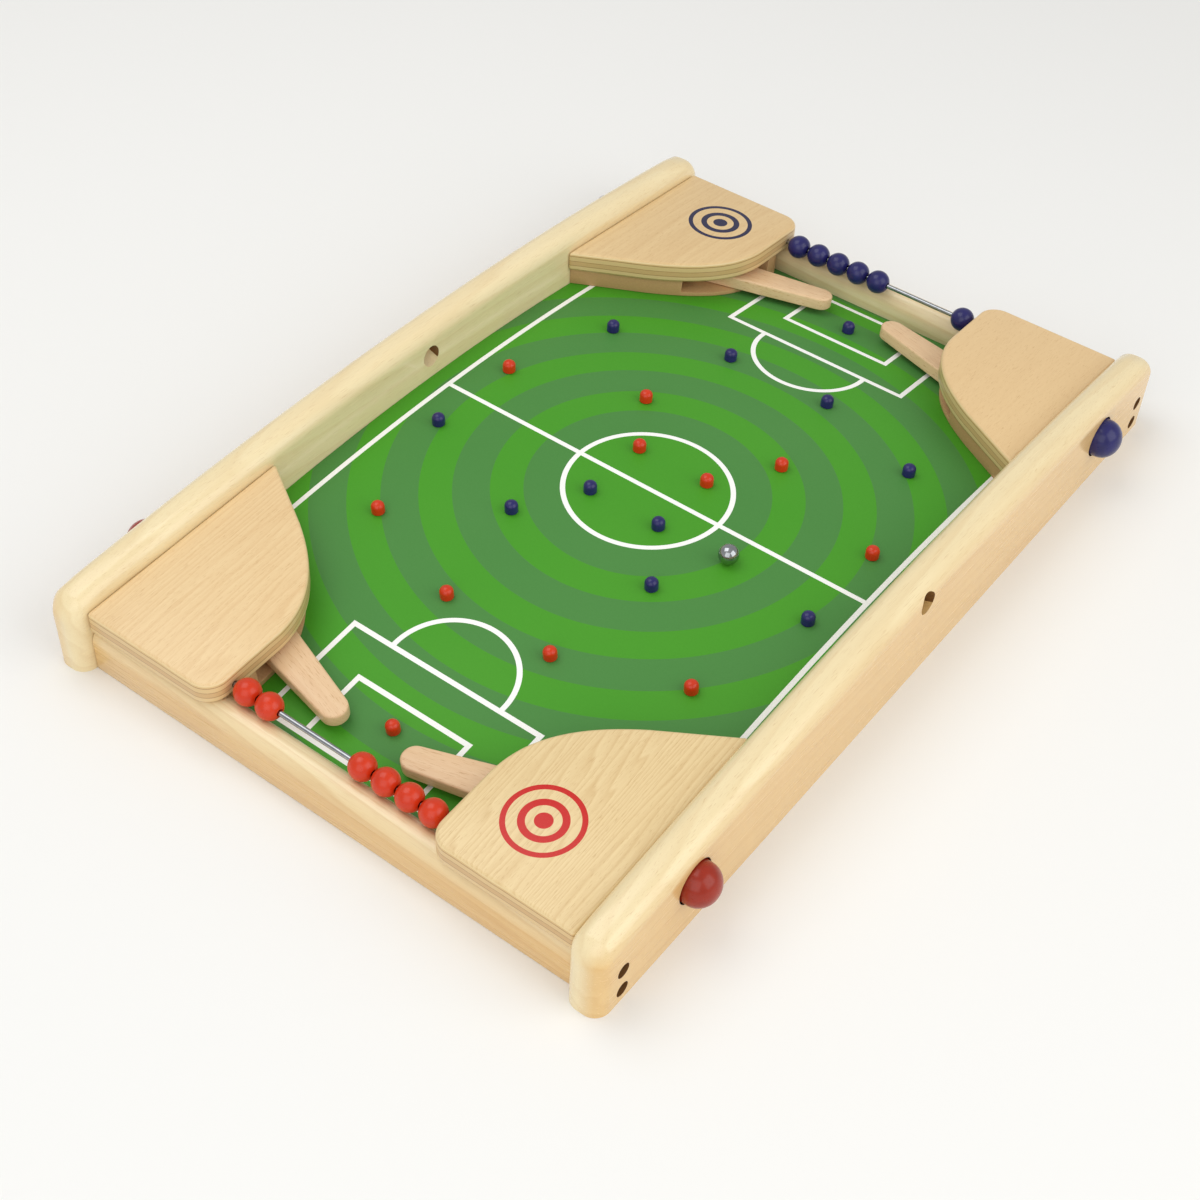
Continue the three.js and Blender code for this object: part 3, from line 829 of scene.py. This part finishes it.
# ------------------------------------------------------------------ corner plates and blocks
def corner_outline(inset, outer_y):
    """Seen from above in the far right-hand corner, from the rail round the free edge."""
    rail_side = INNER_FACE - CLEARANCE
    side = PLATE_SIDE + inset
    radius = PLATE_CORNER_RADIUS - inset
    outline = [(rail_side, outer_y)]
    outline += arc((side + radius, outer_y - radius), radius, 90, 180, 14)
    outline.append((side, PLATE_SIDE_END))
    middle = (PLATE_CURVE_MIDDLE[0] + inset, PLATE_CURVE_MIDDLE[1] + inset)
    end = (PLATE_CURVE_END[0] + inset / 2, PLATE_CURVE_END[1] + inset)
    outline += bezier([(side, PLATE_SIDE_END), (side, PLATE_CURVE_LEVEL), middle, end], 28)
    outline.append((rail_side, PLATE_RAIL_END + inset))
    return outline


def corner_plate(team, side):
    signs = (SIDES[side], TEAMS[team])
    name = f"corner_plate_{team}_{side}"
    outline = corner_outline(0, END_RAIL_OUTER)
    plate = prism(name, outline, plate_bottom, plate_top, signs)
    soften(plate, PLATE_EDGE_RADIUS, segments=6, angle=50)
    beyond = 10
    rod = bar(ROD_RADIUS + ROD_GAP,
              (signs[0] * (PLATE_SIDE - beyond), signs[1] * ROD_Y, ROD_Z),
              (signs[0] * (ROD_HALF_LENGTH + 1), signs[1] * ROD_Y, ROD_Z))
    pin = on_pivot(bar(PIVOT_RADIUS + PIVOT_GAP, (0, 0, 5), (0, 0, PIVOT_UP + PIVOT_GAP)), signs)
    groove = bar(STEM_HOLE_RADIUS, (signs[0] * STEM_GROOVE_END, signs[1] * BUTTON_Y, BUTTON_Z),
                 (signs[0] * HALF_WIDTH, signs[1] * BUTTON_Y, BUTTON_Z))
    combine(plate, [rod, pin, groove], "DIFFERENCE")
    smooth(plate)
    finish_piece(plate, PLATES[team, side], "frame", name, slot="plywood")


def corner_block(team, side):
    signs = (SIDES[side], TEAMS[team])
    name = f"corner_block_{team}_{side}"
    outline = corner_outline(BLOCK_INSET, END_RAIL_INNER - CLEARANCE)
    block = prism(name, outline, lambda x, y: pitch_height(y) + CLEARANCE,
                  lambda x, y: plate_bottom(x, y) - CLEARANCE, signs)
    around_pivot = [(x - PIVOT.x, y - PIVOT.y) for x, y in POCKET]
    pocket = on_pivot(prism("pocket", around_pivot, lambda x, y: POCKET_FLOOR,
                            lambda x, y: POCKET_CEILING), signs)
    pin = on_pivot(bar(PIVOT_RADIUS + PIVOT_GAP, (0, 0, -8), (0, 0, 2)), signs)
    stem = bar(STEM_HOLE_RADIUS, (signs[0] * STEM_HOLE_END, signs[1] * BUTTON_Y, BUTTON_Z),
               (signs[0] * HALF_WIDTH, signs[1] * BUTTON_Y, BUTTON_Z))
    combine(block, [pocket, pin, stem], "DIFFERENCE")
    soften(block, BLOCK_ARRIS, segments=2)
    finish_piece(block, BOARD, "frame", name, slot="fibreboard")


# ------------------------------------------------------------------ flippers
def hull(circles, steps=64):
    """The convex hull of circles (x, y, radius), anticlockwise."""
    points = [p for x, y, radius in circles for p in arc((x, y), radius, 0, 360, steps)[1:]]
    points.sort()

    def chain(ordered):
        kept = []
        for p in ordered:
            while len(kept) > 1:
                a, b = kept[-2], kept[-1]
                if (b[0] - a[0]) * (p[1] - a[1]) - (b[1] - a[1]) * (p[0] - a[0]) > 1e-6:
                    break
                kept.pop()
            kept.append(p)
        return kept[:-1]

    return chain(points) + chain(points[::-1])


def flipper_layer(name, circles, height):
    """A flat layer of the flipper round the circles, in the frame of its pivot."""
    around_pivot = [(x - PIVOT.x, y - PIVOT.y, radius) for x, y, radius in circles]
    return prism(name, hull(around_pivot), lambda x, y: 0, lambda x, y: height)


def flipper(team, side):
    signs = (SIDES[side], TEAMS[team])
    name = f"flipper_{team}_{side}"
    heel_circles = [FLIPPER_HUB, FLIPPER_LOBE, FLIPPER_CORNER]
    blade = flipper_layer(name, heel_circles + [FLIPPER_TIP], FLIPPER_THICKNESS)
    soften(blade, FLIPPER_EDGE_RADIUS, segments=4, angle=50)
    heel = flipper_layer("heel", heel_circles, HEEL_HEIGHT)
    dowel = bar(PIVOT_RADIUS, (0, 0, -PIVOT_DOWN), (0, 0, PIVOT_UP))
    combine(blade, [heel, dowel], "UNION")
    smooth(blade)
    on_pivot(blade, signs)
    turn = FLIPPER_GRAIN_TURN * signs[0] * signs[1]
    finish_piece(blade, BEECH[turn], name, name, slot="flipper_wood")


# ------------------------------------------------------------------ buttons
def button(team, side):
    """A domed head with its stem, turned in one piece about the axis it is pushed along."""
    signs = (SIDES[side], TEAMS[team])
    name = f"button_{team}_{side}"
    tip_centre = (0, STEM_END - HALF_WIDTH + STEM_RADIUS)
    stem = arc(tip_centre, STEM_RADIUS, -90, 0, 8)
    edge = 0.8
    back = [(STEM_RADIUS, -BUTTON_INSIDE), (BUTTON_RADIUS - edge, -BUTTON_INSIDE),
            (BUTTON_RADIUS, edge - BUTTON_INSIDE)]
    dome = [(BUTTON_RADIUS * radius, BUTTON_OUTSIDE + DOME_HEIGHT * x)
            for radius, x in arc((0, 0), 1, 0, 90, 16)]
    profile = [(0, stem[0][1]), *stem[1:], *back, *dome[:-1], (0, dome[-1][1])]
    head = lathe(name, profile, 56)
    placed(head, Matrix.Translation((HALF_WIDTH, BUTTON_Y, BUTTON_Z)))
    mirror(head, signs)
    smooth(head, 40)
    finish_piece(head, BUTTON_PAINTS[team], name, name, slot=f"{team}_paint")


def spring(team, side):
    """The return spring round the stem, between the button's head and the bore's floor."""
    signs = (SIDES[side], TEAMS[team])
    low = HALF_WIDTH - BORE_DEPTH
    high = HALF_WIDTH - BUTTON_INSIDE
    wire = SPRING_WIRE_RADIUS
    steps = SPRING_TURNS * SPRING_STEPS_PER_TURN
    rings = []
    for i in range(steps + 1):
        share = i / steps
        around = 2 * math.pi * SPRING_TURNS * share
        x = low + wire + (high - low - 2 * wire) * share
        y = BUTTON_Y + SPRING_RADIUS * math.cos(around)
        z = BUTTON_Z + SPRING_RADIUS * math.sin(around)
        radial = Vector((0, y - BUTTON_Y, z - BUTTON_Z)).normalized()
        ring = []
        for k in range(SPRING_WIRE_SIDES):
            angle = 2 * math.pi * k / SPRING_WIRE_SIDES
            offset = radial * math.cos(angle) * wire
            ring.append((x + wire * math.sin(angle), y + offset.y, z + offset.z))
        rings.append(ring)
    coil = loft(f"spring_{team}_{side}", rings, signs)
    smooth(coil, 60)
    finish_piece(coil, ZINC, "frame", slot="steel")
    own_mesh(coil)


# ------------------------------------------------------------------ beads, rods, pegs, ball, screws
def centre_of(node):
    """The middle of a CAD node's box at rest, in millimetres."""
    low, high = (Vector(corner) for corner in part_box(node))
    return (low + high) / 2 / MM


def score_rod(team):
    name = f"score_rod_{team}"
    y = TEAMS[team] * ROD_Y
    edge = 0.3
    profile = [(0, -ROD_HALF_LENGTH), (ROD_RADIUS - edge, -ROD_HALF_LENGTH),
               (ROD_RADIUS, edge - ROD_HALF_LENGTH), (ROD_RADIUS, ROD_HALF_LENGTH - edge),
               (ROD_RADIUS - edge, ROD_HALF_LENGTH), (0, ROD_HALF_LENGTH)]
    rod = lathe(name, profile, 32)
    placed(rod, Matrix.Translation((0, y, ROD_Z)))
    smooth(rod)
    finish_piece(rod, POLISHED, "frame", name, slot="steel")


def score_bead(team, number):
    name = f"score_bead_{team}_{number}"
    edge = math.degrees(math.asin((BEAD_BORE + 0.5) / BEAD_RADIUS))
    outside = [(radius, x) for x, radius in arc((0, 0), BEAD_RADIUS, edge, 180 - edge, 26)]
    half = outside[-1][1]
    bore = [(BEAD_BORE, half * 0.96), (BEAD_BORE, -half * 0.96)]
    bead = lathe(name, outside + bore, 40)
    placed(bead, Matrix.Translation(centre_of(name)))
    smooth(bead, 50)
    finish_piece(bead, PAINTS[team], f"bead_{team}_{number}", name, slot=f"{team}_paint")


def peg(team, number):
    """A domed peg that stands square to the arched pitch, with its shank in the pitch's hole."""
    name = f"peg_{team}_{number}"
    centre = centre_of(name)
    lean = math.atan(2 * PITCH_SAG * centre.y)
    middle_height = (PEG_HEIGHT - PITCH_THICKNESS) / 2
    foot = centre.y - math.sin(lean) * middle_height
    dome = [(PEG_RADIUS * radial, PEG_HEIGHT - PEG_DOME * (1 - axial))
            for radial, axial in arc((0, 0), 1, 0, 90, 9)][:-1]
    foot_end = CLEARANCE - PITCH_THICKNESS
    profile = [(0, foot_end), (PEG_SHANK_RADIUS, foot_end), (PEG_SHANK_RADIUS, CLEARANCE),
               (PEG_RADIUS - 0.3, CLEARANCE), (PEG_RADIUS, CLEARANCE + 0.3)]
    player = lathe(name, profile + dome + [(0, PEG_HEIGHT)], 32)
    upright = Euler((0, -math.pi / 2, 0)).to_matrix().to_4x4()
    lean_turn = Matrix.Rotation(-lean, 4, "X")
    place = Matrix.Translation((centre.x, foot, pitch_height(foot)))
    placed(player, place @ lean_turn @ upright)
    smooth(player, 40)
    finish_piece(player, PAINTS[team], "frame", name, slot=f"{team}_paint")


def steel_ball():
    low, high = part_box("ball")
    radius = (high[0] - low[0]) / 2 / MM
    profile = [(radius * math.sin(a), -radius * math.cos(a))
               for a in (math.pi * i / 40 for i in range(41))]
    profile[0] = (0, -radius)
    profile[-1] = (0, radius)
    ball = lathe("ball", profile, 64)
    placed(ball, Matrix.Translation(centre_of("ball")))
    smooth(ball, 60)
    finish_piece(ball, POLISHED, "ball", "ball", slot="steel")


def screw(side, end, number):
    """A cross-head wood screw at the bottom of its counterbore."""
    sign = SIDES[side]
    radius = SCREW_HEAD_RADIUS
    height = SCREW_HEAD_HEIGHT
    profile = [(0, 0), (radius, 0), (radius, 0.5), (radius * 0.8, height - 0.4),
               (radius * 0.45, height), (0, height)]
    head = lathe(f"screw_{side}_{'blue' if end > 0 else 'red'}_{number}", profile, 32)
    reach = SCREW_SLOT_HALF_LENGTH
    half = SCREW_SLOT_HALF_WIDTH
    section = [(-reach, -half), (reach, -half), (reach, half), (-reach, half)]
    slots = []
    for angle in (45, -45):
        turn = Matrix.Rotation(math.radians(angle), 4, "X")
        rings = [[(x, y, z) for y, z in section] for x in (SCREW_SLOT_FLOOR, height + 1)]
        slots.append(placed(loft("slot", rings), turn))
    combine(head, slots, "DIFFERENCE")
    seat = HALF_WIDTH - SCREW_BORE_DEPTH + 0.05
    placed(head, Matrix.Translation((seat, end * SCREW_Y, SCREW_HEIGHTS[number - 1])))
    mirror(head, (sign, 1))
    smooth(head)
    finish_piece(head, ZINC, "frame", slot="steel")


# ------------------------------------------------------------------ the object
for side in SIDES:
    side_rail(side)
    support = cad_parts[f"pitch_support_{side}"]
    support.data.materials.clear()
    support.data.materials.append(RAIL_WOOD)
    for end in (-1, 1):
        for number in (1, 2):
            screw(side, end, number)
pitch_panel()
for team in TEAMS:
    end_rail(team)
    score_rod(team)
    for number in range(1, 7):
        score_bead(team, number)
    for number in range(1, 12):
        peg(team, number)
for team, side in CORNERS:
    corner_plate(team, side)
    corner_block(team, side)
    flipper(team, side)
    button(team, side)
    spring(team, side)
steel_ball()


# ------------------------------------------------------------------ floor, light and camera
def floor():
    half = FLOOR_HALF_SIDE
    obj = new_object("floor", [(-half, -half, 0), (half, -half, 0), (half, half, 0),
                               (-half, half, 0)], [(0, 1, 2, 3)])
    shader = Shader("floor", 0.9)
    shader.surface.inputs["Base Color"].default_value = srgb("#F4F4F2")
    obj.data.materials.append(shader.material)


def area_light(name, location, size, power):
    """A square light that faces the middle of the board."""
    light = bpy.data.lights.new(name, "AREA")
    light.shape = "SQUARE"
    light.size = size
    light.energy = power
    obj = bpy.data.objects.new(name, light)
    bpy.context.scene.collection.objects.link(obj)
    obj.location = location
    direction = Vector((0, 0, 0)) - Vector(location)
    obj.rotation_euler = direction.to_track_quat("-Z", "Y").to_euler()


def camera():
    data = bpy.data.cameras.new("camera")
    data.lens = CAMERA_LENS
    data.sensor_width = CAMERA_SENSOR
    data.clip_start = 0.05
    obj = bpy.data.objects.new("camera", data)
    bpy.context.scene.collection.objects.link(obj)
    azimuth = Matrix.Rotation(math.radians(CAMERA_AZIMUTH), 4, "Z")
    elevation = Matrix.Rotation(math.pi / 2 - math.radians(CAMERA_ELEVATION), 4, "X")
    roll = Matrix.Rotation(math.radians(CAMERA_ROLL), 4, "Z")
    obj.matrix_world = Matrix.Translation(CAMERA_PLACE) @ (azimuth @ elevation @ roll)
    bpy.context.scene.camera = obj


def surroundings():
    """Even light from all round."""
    world = bpy.context.scene.world or bpy.data.worlds.new("world")
    bpy.context.scene.world = world
    world.use_nodes = True
    background = world.node_tree.nodes["Background"]
    background.inputs["Color"].default_value = WORLD_COLOUR
    background.inputs["Strength"].default_value = WORLD_STRENGTH
    bpy.context.scene.view_settings.view_transform = "Standard"


floor()
for name, settings in LIGHTS.items():
    area_light(name, **settings)
surroundings()
camera()
